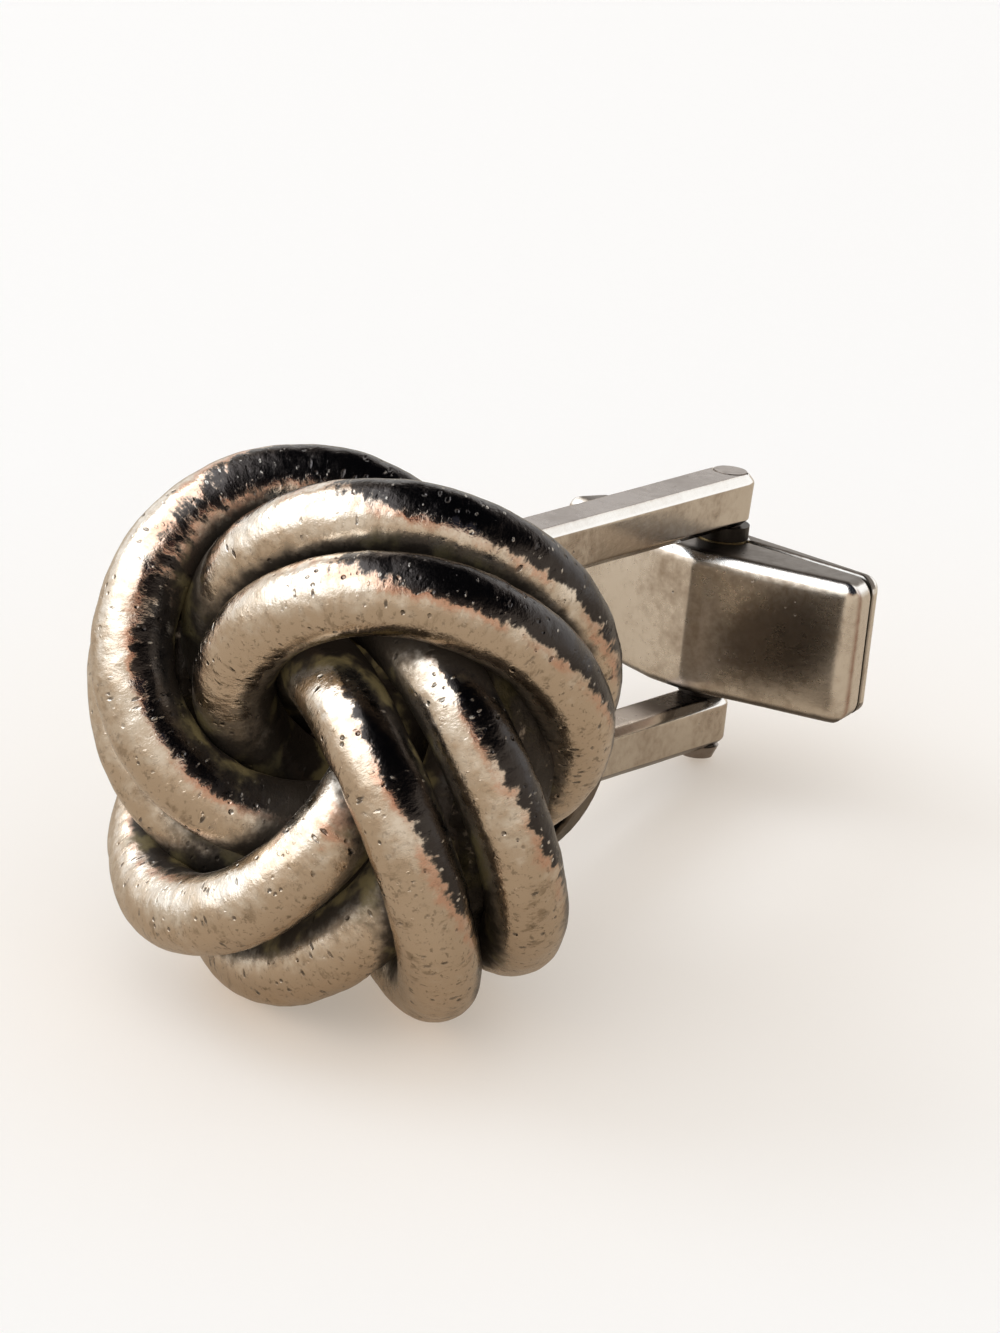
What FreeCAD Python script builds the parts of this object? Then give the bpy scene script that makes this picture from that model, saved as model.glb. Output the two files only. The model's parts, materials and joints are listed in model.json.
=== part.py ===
"""A double-strand knot cufflink with a fork post and a swivel toggle, lying on its side.

The knot is eight round strands in four pairs, brazed where they cross. Each strand is part of a
circle: it starts in the middle of the knot, rises over the front and dives behind at the rim.
Behind the knot a turned plate carries the fork: a base bar and two flat arms. A pin through the
arm ends carries the hollow toggle, which is two pressed shells round two bushes and a leaf spring,
and which turns freely about the pin.
"""
import FreeCAD, Part
import math
import os

import Sketcher

doc = FreeCAD.newDocument("cufflink")
sheet = doc.addObject("Spreadsheet::Sheet", "Sizes")

# Driving dimensions in millimetres and degrees. Names that end in share are plain ratios.
SIZES = {
    # Knot: each strand follows the distance between two crossing wires. The start and the end are
    # angles along its circle, counted from the rim of the knot.
    "wire_diameter": 2.07,
    "strand_gap": 0.02,
    "inner_radius_share": 2.177,
    "inner_offset_share": 1.172,
    "inner_lift_share": 0.287,
    "inner_tilt": 44,
    "inner_lean": -90,
    "inner_turn": 35,
    "inner_start": -95,
    "inner_end": 192,
    "outer_radius_share": 2.32,
    "outer_offset_share": 1.124,
    "outer_lift_share": -0.526,
    "outer_tilt": 40,
    "outer_lean": -124,
    "outer_turn": 74.5,
    "outer_start": -92,
    "outer_end": 158,
    # Turned plate behind the knot, with a cone that closes the knot's hole.
    "plate_radius": 4.7,
    "plate_thickness": 0.8,
    "plate_round": 0.1,
    "round_limit_share": 0.9,
    "cone_height": 3.8,
    "cone_foot_share": 1.85,
    "cone_clearance": 0.25,
    # Fork: base bar and two arms, a little above the middle of the knot.
    "fork_lift": 0.6,
    "base_width": 2.4,
    "base_thickness": 1.6,
    "base_round": 0.4,
    "arm_width": 1.5,
    "arm_height": 1.55,
    "arm_bevel": 0.24,
    "arm_reach": 10.6,
    # Pin, rivet head and washers.
    "pin_diameter": 0.95,
    "pin_flats": 0.8,
    "rivet_radius": 0.62,
    "rivet_height": 0.35,
    "washer_radius": 0.74,
    "washer_thickness": 0.38,
    "running_clearance": 0.03,
    "seat_clearance": 0.01,
    # Toggle: a flat nose and two swept wings, a front shell and a back shell that meet at a seam.
    "toggle_height": 4.2,
    "toggle_turn": -6.3,
    "nose_depth": 2.05,
    "nose_width": 1.24,
    "wing_length": 5.1,
    "wing_sweep": 17.0,
    "front_thickness": 1.15,
    "end_thickness": 1.7,
    "seam_depth": 0.3,
    "hub_back": 1.15,
    "hub_reach": 1.4,
    "shell_wall": 0.4,
    "front_round": 0.45,
    "back_round": 0.3,
    "seam_bevel": 0.08,
    # Bushes and leaf spring inside the toggle.
    "bush_wall": 0.2,
    "bush_length": 1.2,
    "spring_thickness": 0.15,
    "spring_height": 1.4,
    "spring_reach": 3.0,
    "spring_clearance": 0.05,
}


def set_size(alias, number):
    """Give the sheet one more named cell."""
    SIZES[alias] = number
    cell = f"A{list(SIZES).index(alias) + 1}"
    sheet.set(cell, str(number))
    sheet.setAlias(cell, alias)


for alias, number in list(SIZES.items()):
    set_size(alias, number)
doc.recompute()


def size(alias):
    """Number in the sheet's cell of that name."""
    return float(getattr(sheet, alias))


def bind(expression):
    """Expression with every sheet name given its sheet prefix."""
    words = []
    word = ""
    for letter in expression + " ":
        if letter.isalnum() or letter == "_":
            word += letter
            continue
        words.append(f"Sizes.{word}" if word in SIZES else word)
        words.append(letter)
        word = ""
    return "".join(words).strip()


# Distances that several pieces share, written once as expressions of the sheet.
STEP = "(wire_diameter + strand_gap)"
CONE_FOOT = f"(cone_foot_share * {STEP})"
BUSH_RADIUS = "(pin_diameter / 2 + running_clearance + bush_wall)"
TOGGLE_BORE = f"({BUSH_RADIUS} + seat_clearance)"
ARM_GAP = "(toggle_height + 2 * washer_thickness + 2 * running_clearance)"
FORK_HEIGHT = f"({ARM_GAP} + 2 * arm_height)"
SPRING_FRONT = "(pin_diameter / 2 + spring_clearance)"
SPRING_BACK = f"({SPRING_FRONT} + spring_thickness)"


def value_of(expression):
    """Number that an expression of the sheet gives."""
    return float(sheet.evalExpression(bind(expression)))


def origin_plane(body, role):
    """One of the body's own origin planes."""
    return next(plane for plane in body.Origin.OriginFeatures if plane.Role == role)


def new_body(name):
    """Empty body that carries the node's name."""
    body = doc.addObject("PartDesign::Body", name)
    body.Label = name
    return body


def new_sketch(body, name, role):
    """Sketch on one of the body's origin planes."""
    sketch = body.newObject("Sketcher::SketchObject", f"{body.Name}_{name}")
    sketch.AttachmentSupport = [(origin_plane(body, role), "")]
    sketch.MapMode = "FlatFace"
    return sketch


def pin_point(sketch, geometry, end, name, across, up):
    """Fix one sketch point by two distances from the sketch's origin."""
    for kind, expression in (("DistanceX", across), ("DistanceY", up)):
        number = value_of(expression)
        constraint = Sketcher.Constraint(kind, -1, 1, geometry, end, number)
        index = sketch.addConstraint(constraint)
        label = f"{name}_{kind[-1].lower()}"
        sketch.renameConstraint(index, label)
        sketch.setExpression(f"Constraints.{label}", bind(expression))


def add_outline(sketch, name, corners):
    """Closed outline of straight lines through corners given as pairs of expressions."""
    points = [FreeCAD.Vector(value_of(across), value_of(up), 0) for across, up in corners]
    first = sketch.GeometryCount
    count = len(points)
    for index, point in enumerate(points):
        sketch.addGeometry(Part.LineSegment(point, points[(index + 1) % count]), False)
    for index, (across, up) in enumerate(corners):
        following = first + (index + 1) % count
        sketch.addConstraint(Sketcher.Constraint("Coincident", first + index, 2, following, 1))
        pin_point(sketch, first + index, 1, f"{name}{index}", across, up)


def add_circle(sketch, name, across, up, radius):
    """Circle fixed by its centre and radius, given as expressions."""
    centre = FreeCAD.Vector(value_of(across), value_of(up), 0)
    circle = Part.Circle(centre, FreeCAD.Vector(0, 0, 1), value_of(radius))
    geometry = sketch.addGeometry(circle, False)
    pin_point(sketch, geometry, 3, name, across, up)
    index = sketch.addConstraint(Sketcher.Constraint("Radius", geometry, value_of(radius)))
    sketch.renameConstraint(index, f"{name}_radius")
    sketch.setExpression(f"Constraints.{name}_radius", bind(radius))


def add_feature(body, kind, name, sketch, length):
    """Pad or pocket that spreads evenly to both sides of its sketch."""
    before = body.Shape.Volume if body.Tip else 0.0
    feature = body.newObject(f"PartDesign::{kind}", f"{body.Name}_{name}")
    feature.Profile = sketch
    feature.Midplane = True
    feature.setExpression("Length", bind(length))
    doc.recompute()
    if kind == "Pocket" and body.Shape.Volume >= before:
        raise RuntimeError(f"{body.Name}_{name} cuts nothing")


def dress_edges(body, kind, name, chosen, radius):
    """Fillet or chamfer on the edges that the test chooses."""
    base = body.Tip
    names = [f"Edge{index}" for index, edge in enumerate(base.Shape.Edges, start=1) if chosen(edge)]
    feature = body.newObject(f"PartDesign::{kind}", f"{body.Name}_{name}")
    feature.Base = (base, names)
    feature.setExpression("Radius" if kind == "Fillet" else "Size", bind(radius))
    doc.recompute()


def same(one, other):
    """True for two lengths that differ by no more than rounding."""
    return math.isclose(one, other, abs_tol=ROUNDING)


def runs_along(edge, direction):
    """True for a straight edge that runs along a direction."""
    start, end = edge.Vertexes[0].Point, edge.Vertexes[-1].Point
    return not edge.Closed and same((end - start).cross(direction).Length, 0)


def turn_about(axis, degrees):
    """Placement that only turns."""
    return FreeCAD.Placement(FreeCAD.Vector(0, 0, 0), FreeCAD.Rotation(axis, degrees))


def move_to(across, along, up):
    """Placement that only moves."""
    return FreeCAD.Placement(FreeCAD.Vector(across, along, up), FreeCAD.Rotation())


AXIS_X = FreeCAD.Vector(1, 0, 0)
AXIS_Y = FreeCAD.Vector(0, 1, 0)
AXIS_Z = FreeCAD.Vector(0, 0, 1)

ROUNDING = 1e-6

# Every piece keeps its place in the standing frame: knot centre at the origin, post along +Y.
places = {}


# Knot: four pairs of strands in a pinwheel, each pair one quarter turn from the last.
def strand_radius(kind):
    """Radius of a strand's circle, as an expression."""
    return f"({kind}_radius_share * {STEP})"


def strand_sweep(kind):
    """Angle that a strand runs along its circle, as an expression."""
    return f"({kind}_end - {kind}_start)"


def strand_circle(kind):
    """Circle of the first strand of a kind, with the strand's start on the local X axis."""
    tilt = math.radians(size(f"{kind}_tilt"))
    lean = math.radians(size(f"{kind}_lean"))
    across = math.sin(tilt)
    facing = FreeCAD.Vector(across * math.cos(lean), across * math.sin(lean), math.cos(tilt))
    rim = (AXIS_X - facing * facing.dot(AXIS_X)).normalize()
    start = FreeCAD.Rotation(facing, size(f"{kind}_start")).multVec(rim)
    axes = FreeCAD.Rotation(start, facing.cross(start), facing, "ZXY")
    step = value_of(STEP)
    centre = FreeCAD.Vector(size(f"{kind}_offset_share") * step, 0, size(f"{kind}_lift_share") * step)
    return FreeCAD.Placement(centre, axes)


def make_rings():
    """Eight strands, named by the side of the knot that they cross and their place in the pair."""
    made = []
    for quarter, face in enumerate(("top", "right", "bottom", "left")):
        for kind in ("inner", "outer"):
            ring = doc.addObject("Part::Torus", f"knot_ring_{face}_{kind}")
            ring.Label = ring.Name
            ring.setExpression("Radius1", bind(strand_radius(kind)))
            ring.setExpression("Radius2", bind("wire_diameter / 2"))
            ring.setExpression("Angle3", bind(strand_sweep(kind)))
            turned = turn_about(AXIS_Z, size(f"{kind}_turn") - 90 * quarter)
            places[ring] = turn_about(AXIS_X, 90) * turned * strand_circle(kind)
            kinds[ring] = kind
            made.append(ring)
    return made


def ring_reach(ring, direction):
    """How far a strand reaches along a direction, measured from the knot's centre."""
    seen = places[ring].Rotation.inverted().multVec(direction)
    radius = value_of(strand_radius(kinds[ring]))
    sweep = math.radians(value_of(strand_sweep(kinds[ring])))
    wire = size("wire_diameter") / 2
    crest = math.atan2(seen.y, seen.x) % math.tau
    if crest <= sweep:
        reach = radius * math.hypot(seen.x, seen.y) + wire
    else:
        reach = -math.inf
        for angle in (0.0, sweep):
            outward = seen.x * math.cos(angle) + seen.y * math.sin(angle)
            along = seen.y * math.cos(angle) - seen.x * math.sin(angle)
            reach = max(reach, radius * outward + wire * math.sqrt(1 - along ** 2))
    return places[ring].Base.dot(direction) + reach


kinds = {}
rings = make_rings()
knot_back = max(ring_reach(ring, AXIS_Y) for ring in rings)


def knot_hole_radius():
    """Clear radius round the knot's axis, sampled along one strand of each kind."""
    samples = 720
    least = math.inf
    for ring in rings[:2]:
        radius = value_of(strand_radius(kinds[ring]))
        sweep = math.radians(value_of(strand_sweep(kinds[ring])))
        for index in range(samples + 1):
            angle = sweep * index / samples
            point = FreeCAD.Vector(math.cos(angle), math.sin(angle), 0) * radius
            placed = places[ring].multVec(point)
            least = min(least, math.hypot(placed.x, placed.z))
    return least - size("wire_diameter") / 2


set_size("knot_hole_radius", knot_hole_radius())
doc.recompute()


# Plate: a disc that the hindmost wires touch, with a cone that stands in the knot's hole.
def make_plate():
    body = new_body("back_plate")
    sketch = new_sketch(body, "profile", "XY_Plane")
    corners = [
        ("0 * plate_radius", "-cone_height"),
        ("knot_hole_radius - cone_clearance", "-cone_height"),
        (CONE_FOOT, "0 * plate_radius"),
        ("plate_radius", "0 * plate_radius"),
        ("plate_radius", "plate_thickness"),
        ("0 * plate_radius", "plate_thickness"),
    ]
    add_outline(sketch, "corner", corners)
    turned = body.newObject("PartDesign::Revolution", "back_plate_turned")
    turned.Profile = sketch
    turned.ReferenceAxis = (sketch, ["V_Axis"])
    turned.Angle = 360
    doc.recompute()

    def rim(edge):
        return edge.Closed and same(edge.Curve.Radius, size("plate_radius"))

    ledge = f"(plate_radius - {CONE_FOOT})"
    dress_edges(body, "Fillet", "rim", rim, f"min(plate_round; round_limit_share * {ledge})")
    places[body] = move_to(0, knot_back, 0)
    return body


# Fork: the base bar stands across the plate and the arms run back from it.
base_front = knot_back + size("plate_thickness")
base_back = base_front + size("base_thickness")
pivot_along = base_back + size("arm_reach")
pivot_place = move_to(0, pivot_along, size("fork_lift"))


def make_base():
    body = new_body("fork_base")
    sketch = new_sketch(body, "plan", "XY_Plane")
    corners = [
        ("-base_width / 2", "0 * base_width"),
        ("base_width / 2", "0 * base_width"),
        ("base_width / 2", "base_thickness"),
        ("-base_width / 2", "base_thickness"),
    ]
    add_outline(sketch, "corner", corners)
    add_feature(body, "Pad", "bar", sketch, FORK_HEIGHT)

    def end_edges(edge):
        return runs_along(edge, AXIS_Y)

    dress_edges(body, "Fillet", "ends", end_edges, "base_round")
    places[body] = move_to(0, base_front, size("fork_lift"))
    return body


def make_arm(name, side):
    """One flat arm with a round end about the pin, bevelled along its edges."""
    body = new_body(name)
    sketch = new_sketch(body, "plan", "XY_Plane")
    half = value_of("arm_width / 2")
    reach = size("arm_reach")
    corners = [
        FreeCAD.Vector(half, 0, 0),
        FreeCAD.Vector(half, -reach, 0),
        FreeCAD.Vector(-half, -reach, 0),
        FreeCAD.Vector(-half, 0, 0),
    ]
    for start, end in zip(corners, corners[1:]):
        sketch.addGeometry(Part.LineSegment(start, end), False)
    tip = FreeCAD.Vector(0, half, 0)
    arc = sketch.addGeometry(Part.Arc(corners[0], tip, corners[3]), False)
    for line in (0, 1):
        sketch.addConstraint(Sketcher.Constraint("Coincident", line, 2, line + 1, 1))
    pin_point(sketch, 0, 1, "right_end", "arm_width / 2", "0 * arm_reach")
    pin_point(sketch, 0, 2, "right_root", "arm_width / 2", "-arm_reach")
    pin_point(sketch, 2, 1, "left_root", "-arm_width / 2", "-arm_reach")
    sketch.addConstraint(Sketcher.Constraint("PointOnObject", 2, 2, -1))
    sketch.addConstraint(Sketcher.Constraint("Coincident", arc, 1, 0, 1))
    sketch.addConstraint(Sketcher.Constraint("Coincident", arc, 2, 2, 2))
    sketch.addConstraint(Sketcher.Constraint("Coincident", arc, 3, -1, 1))
    add_feature(body, "Pad", "bar", sketch, "arm_height")

    def long_edges(edge):
        return not runs_along(edge, AXIS_X) and not runs_along(edge, AXIS_Z)

    dress_edges(body, "Chamfer", "bevel", long_edges, "arm_bevel")
    hole = new_sketch(body, "hole", "XY_Plane")
    add_circle(hole, "seat", "0 * arm_width", "0 * arm_width", "pin_diameter / 2 + seat_clearance")
    add_feature(body, "Pocket", "bore", hole, "2 * arm_height")
    level = side * value_of(f"({ARM_GAP} + arm_height) / 2")
    places[body] = pivot_place * move_to(0, 0, level)
    return body


# Pin: round where the bushes run, with four flats between them for the leaf spring.
def make_pin():
    rod = doc.addObject("Part::Cylinder", "pin_rod")
    rod.setExpression("Radius", bind("pin_diameter / 2"))
    rod.setExpression("Height", bind(FORK_HEIGHT))
    rod.setExpression("Placement.Base.z", bind(f"-{FORK_HEIGHT} / 2"))
    flats_height = "(toggle_height - 2 * bush_length)"
    sleeve = doc.addObject("Part::Cylinder", "pin_sleeve")
    sleeve.setExpression("Radius", bind("pin_diameter"))
    sleeve.setExpression("Height", bind(flats_height))
    sleeve.setExpression("Placement.Base.z", bind(f"-{flats_height} / 2"))
    square = doc.addObject("Part::Box", "pin_square")
    square.setExpression("Length", bind("pin_flats"))
    square.setExpression("Width", bind("pin_flats"))
    square.setExpression("Height", bind(flats_height))
    square.setExpression("Placement.Base.x", bind("-pin_flats / 2"))
    square.setExpression("Placement.Base.y", bind("-pin_flats / 2"))
    square.setExpression("Placement.Base.z", bind(f"-{flats_height} / 2"))
    waste = doc.addObject("Part::Cut", "pin_waste")
    waste.Base = sleeve
    waste.Tool = square
    shank = doc.addObject("Part::Cut", "pin_shank")
    shank.Base = rod
    shank.Tool = waste
    head = doc.addObject("Part::Cone", "pin_head")
    head.setExpression("Radius1", bind("pin_diameter / 2"))
    head.setExpression("Radius2", bind("rivet_radius"))
    head.setExpression("Height", bind("rivet_height"))
    head.setExpression("Placement.Base.z", bind(f"-{FORK_HEIGHT} / 2 - rivet_height"))
    pin = doc.addObject("Part::Fuse", "pivot_pin")
    pin.Label = pin.Name
    pin.Base = shank
    pin.Tool = head
    places[pin] = pivot_place
    return pin


def make_tube(name, outer, inner, length, level):
    """Short tube about the pin, used for the washers and the bushes."""
    body = new_body(name)
    sketch = new_sketch(body, "plan", "XY_Plane")
    add_circle(sketch, "outer", "0 * pin_diameter", "0 * pin_diameter", outer)
    add_circle(sketch, "inner", "0 * pin_diameter", "0 * pin_diameter", inner)
    add_feature(body, "Pad", "tube", sketch, length)
    places[body] = pivot_place * move_to(0, 0, value_of(level))
    return body


def make_washers():
    level = "(toggle_height + washer_thickness) / 2 + running_clearance"
    inner = "pin_diameter / 2 + seat_clearance"
    upper = make_tube("upper_washer", "washer_radius", inner, "washer_thickness", level)
    lower = make_tube("lower_washer", "washer_radius", inner, "washer_thickness", f"-({level})")
    return [upper, lower]


def make_bushes():
    level = "(toggle_height - bush_length) / 2"
    inner = "pin_diameter / 2 + running_clearance"
    upper = make_tube("upper_bush", BUSH_RADIUS, inner, "bush_length", level)
    lower = make_tube("lower_bush", BUSH_RADIUS, inner, "bush_length", f"-{level}")
    return [upper, lower]


# Toggle: plan points lie on swept wings, by distance along the front of a wing and depth behind it.
def wing_point(side, along, depth):
    """Plan point of a wing as a pair of expressions, with side +1 for the right wing."""
    across = f"nose_width / 2 + ({along}) * cos(wing_sweep * 1deg) - ({depth}) * sin(wing_sweep * 1deg)"
    back = f"-nose_depth + ({along}) * sin(wing_sweep * 1deg) + ({depth}) * cos(wing_sweep * 1deg)"
    return f"{side} * ({across})", back


def middle_point(depth):
    """Plan point in the middle of the toggle, at that depth behind the pin."""
    return "0 * nose_width", depth


def front_outline():
    """Plan outline of the front shell, from its right end round the seam and the nose."""
    return [
        wing_point(1, "wing_length", "0 * end_thickness"),
        wing_point(1, "wing_length", "front_thickness"),
        middle_point("seam_depth"),
        wing_point(-1, "wing_length", "front_thickness"),
        wing_point(-1, "wing_length", "0 * end_thickness"),
        wing_point(-1, "0 * wing_length", "0 * end_thickness"),
        wing_point(1, "0 * wing_length", "0 * end_thickness"),
    ]


def back_outline():
    """Plan outline of the back shell, between the seam and the back."""
    return [
        wing_point(1, "wing_length", "front_thickness"),
        wing_point(1, "wing_length", "end_thickness"),
        middle_point("hub_back"),
        wing_point(-1, "wing_length", "end_thickness"),
        wing_point(-1, "wing_length", "front_thickness"),
        middle_point("seam_depth"),
    ]


def follows(edge, end_depth, middle_depth):
    """True for an edge on the line from the middle of the toggle to a depth at a wing's end."""
    across, back = (value_of(place) for place in wing_point(1, "wing_length", end_depth))
    middle = value_of(middle_depth)

    def on_line(point):
        return same(point.y, middle + (back - middle) * abs(point.x) / across)

    return all(on_line(vertex.Point) for vertex in edge.Vertexes)


def on_seam(edge):
    return follows(edge, "front_thickness", "seam_depth")


def in_middle(edge):
    return runs_along(edge, AXIS_Z) and same(edge.CenterOfMass.x, 0)


def cut_toggle_bore(body):
    sketch = new_sketch(body, "bore", "XY_Plane")
    add_circle(sketch, "bore", "0 * pin_diameter", "0 * pin_diameter", TOGGLE_BORE)
    add_feature(body, "Pocket", "bore_cut", sketch, "2 * toggle_height")


toggle_place = pivot_place * turn_about(AXIS_Z, size("toggle_turn"))


def make_front_shell():
    body = new_body("toggle_front_shell")
    sketch = new_sketch(body, "plan", "XY_Plane")
    add_outline(sketch, "corner", front_outline())
    add_feature(body, "Pad", "block", sketch, "toggle_height")

    def outside(edge):
        return not on_seam(edge)

    dress_edges(body, "Fillet", "pillow", outside, "front_round")
    cut_toggle_bore(body)
    hollow = new_sketch(body, "hollow", "XY_Plane")
    past_seam = "nose_depth + hub_back"
    for name, side in (("right", 1), ("left", -1)):
        corners = [
            wing_point(side, "hub_reach", "shell_wall"),
            wing_point(side, "wing_length - shell_wall", "shell_wall"),
            wing_point(side, "wing_length - shell_wall", past_seam),
            wing_point(side, "hub_reach", past_seam),
        ]
        add_outline(hollow, name, corners)
    add_feature(body, "Pocket", "hollow_cut", hollow, "toggle_height - 2 * shell_wall")
    places[body] = toggle_place
    return body


def make_back_shell():
    body = new_body("toggle_back_shell")
    sketch = new_sketch(body, "plan", "XY_Plane")
    add_outline(sketch, "corner", back_outline())
    add_feature(body, "Pad", "block", sketch, "toggle_height")

    def back_rim(edge):
        return follows(edge, "end_thickness", "hub_back") and not in_middle(edge)

    def seam_rim(edge):
        return on_seam(edge) and not in_middle(edge)

    dress_edges(body, "Fillet", "rim", back_rim, "back_round")
    dress_edges(body, "Chamfer", "seam", seam_rim, "seam_bevel")
    cut_toggle_bore(body)
    slot = new_sketch(body, "slot", "XY_Plane")
    add_outline(slot, "corner", leaf_outline("0 * pin_diameter", "spring_reach + seat_clearance"))
    add_feature(body, "Pocket", "slot_cut", slot, "spring_height + 2 * seat_clearance")
    places[body] = toggle_place
    return body


def leaf_outline(front, reach):
    """Plan outline of the leaf spring, or of the slot that it lies in."""
    return [
        (f"-({reach})", front),
        (reach, front),
        (reach, SPRING_BACK),
        (f"-({reach})", SPRING_BACK),
    ]


def make_spring():
    body = new_body("detent_spring")
    sketch = new_sketch(body, "plan", "XY_Plane")
    add_outline(sketch, "corner", leaf_outline(SPRING_FRONT, "spring_reach"))
    add_feature(body, "Pad", "leaf", sketch, "spring_height")
    places[body] = toggle_place
    return body


pieces = rings + [make_plate(), make_base()]
pieces += [make_arm("upper_arm", 1), make_arm("lower_arm", -1), make_pin()]
pieces += make_washers() + make_bushes()
pieces += [make_front_shell(), make_back_shell(), make_spring()]


# Resting pose: the post dips until the knot and the rivet head both touch the table.
def heights_at(dip):
    """Lowest levels of the knot and of the rivet head when the post dips by an angle."""
    lean = turn_about(AXIS_X, -dip)
    down = lean.inverse().Rotation.multVec(FreeCAD.Vector(0, 0, -1))
    knot = -max(ring_reach(ring, down) for ring in rings)
    end = value_of(f"-{FORK_HEIGHT} / 2 - rivet_height")
    edge = FreeCAD.Vector(0, size("pin_diameter") / 2, end)
    rivet = (lean * pivot_place).multVec(edge).z
    return knot, rivet


def resting_dip():
    """Dip angle found by halving."""
    low, high = 0.0, 45.0
    for _ in range(60):
        middle = (low + high) / 2
        knot, rivet = heights_at(middle)
        if rivet > knot:
            low = middle
        else:
            high = middle
    return (low + high) / 2


dip = resting_dip()
floor_level = heights_at(dip)[0]
lying = move_to(0, 0, -floor_level) * turn_about(AXIS_X, -dip)
doc.recompute()
for piece in pieces:
    piece.Placement = lying * places[piece]
doc.recompute()

# Origin under the middle of the lying part.
box = FreeCAD.BoundBox()
for piece in pieces:
    box.add(piece.Shape.optimalBoundingBox(False))
centring = move_to(-box.Center.x, -box.Center.y, -box.ZMin)
for piece in pieces:
    piece.Placement = centring * piece.Placement
doc.recompute()

for item in doc.Objects:
    if "Invalid" in item.State or "Error" in item.State:
        raise RuntimeError(f"{item.Name} failed: {item.State}")
for piece in pieces:
    if piece.Shape.isNull() or not piece.Shape.isValid() or len(piece.Shape.Solids) != 1:
        raise RuntimeError(f"{piece.Label} is not one sound solid")

os.makedirs("parts", exist_ok=True)
for piece in pieces:
    piece.Shape.exportStep(f"parts/{piece.Label}.step")

pivot = (centring * lying * pivot_place).Base
knot_centre = (centring * lying).multVec(FreeCAD.Vector(0, 0, 0))
axis = lying.Rotation.multVec(AXIS_Z)
print(f"{len(pieces)} pieces, box {box.XLength:.3f} x {box.YLength:.3f} x {box.ZLength:.3f} mm")
print(f"dip {dip:.3f} deg, pivot {pivot.x:.4f} {pivot.y:.4f} {pivot.z:.4f} mm")
print(f"pivot axis {axis.x:.5f} {axis.y:.5f} {axis.z:.5f}")
print(f"knot centre {knot_centre.x:.4f} {knot_centre.y:.4f} {knot_centre.z:.4f} mm")
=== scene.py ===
# %% [markdown]
# # A worn silver knot cufflink
#
# The cufflink lies on its side on a pale table. Eight strands of round wire are wound into a knot,
# a small fork is soldered to the plate behind it, and a toggle bar turns on a pin between the fork's arms.
# The measured solids are loaded first and stay where they are, so every new piece can be placed
# from them. What Blender adds is what a drawing leaves out: hand-worn wire, soft edges, tarnish and light.

# %% Load the measured cufflink
import json
import math

import bmesh
import bpy
import numpy as np
from mathutils import Matrix, Vector, noise
from mathutils.bvhtree import BVHTree


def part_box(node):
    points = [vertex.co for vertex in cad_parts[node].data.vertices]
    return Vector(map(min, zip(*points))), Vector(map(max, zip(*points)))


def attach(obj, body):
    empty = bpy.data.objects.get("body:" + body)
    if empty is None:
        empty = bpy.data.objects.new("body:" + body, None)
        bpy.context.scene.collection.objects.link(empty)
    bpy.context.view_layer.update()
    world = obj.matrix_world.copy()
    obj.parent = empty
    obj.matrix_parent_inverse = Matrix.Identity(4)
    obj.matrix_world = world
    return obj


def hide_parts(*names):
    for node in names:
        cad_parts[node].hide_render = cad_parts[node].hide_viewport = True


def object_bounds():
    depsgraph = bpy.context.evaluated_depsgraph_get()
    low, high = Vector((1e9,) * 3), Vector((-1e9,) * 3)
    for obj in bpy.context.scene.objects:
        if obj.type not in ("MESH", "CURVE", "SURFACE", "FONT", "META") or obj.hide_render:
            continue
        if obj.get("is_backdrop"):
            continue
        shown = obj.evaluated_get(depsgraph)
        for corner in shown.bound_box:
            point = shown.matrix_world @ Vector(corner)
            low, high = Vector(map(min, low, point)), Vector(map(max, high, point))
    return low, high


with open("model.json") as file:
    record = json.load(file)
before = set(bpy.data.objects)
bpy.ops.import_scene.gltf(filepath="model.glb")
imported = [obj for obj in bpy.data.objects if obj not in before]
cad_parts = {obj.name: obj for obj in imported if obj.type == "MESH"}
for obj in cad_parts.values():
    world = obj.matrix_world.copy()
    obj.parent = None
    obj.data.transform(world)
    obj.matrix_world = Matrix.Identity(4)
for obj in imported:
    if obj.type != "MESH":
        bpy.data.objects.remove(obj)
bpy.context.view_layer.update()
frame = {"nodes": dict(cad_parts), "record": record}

MM = 0.001


# %% [markdown]
# ## Writing shader maths as sums
#
# Tarnish and wear are mixed from many small masks, and a node tree drawn by hand for them soon becomes
# unreadable. A small class that wraps one socket lets a mask be written as a sum, such as `1 - mask * 0.4`,
# and each sum adds its own Math node. Vectors are sent to Vector Math and colours to Mix nodes instead,
# because a Math node would turn a colour grey.

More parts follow.
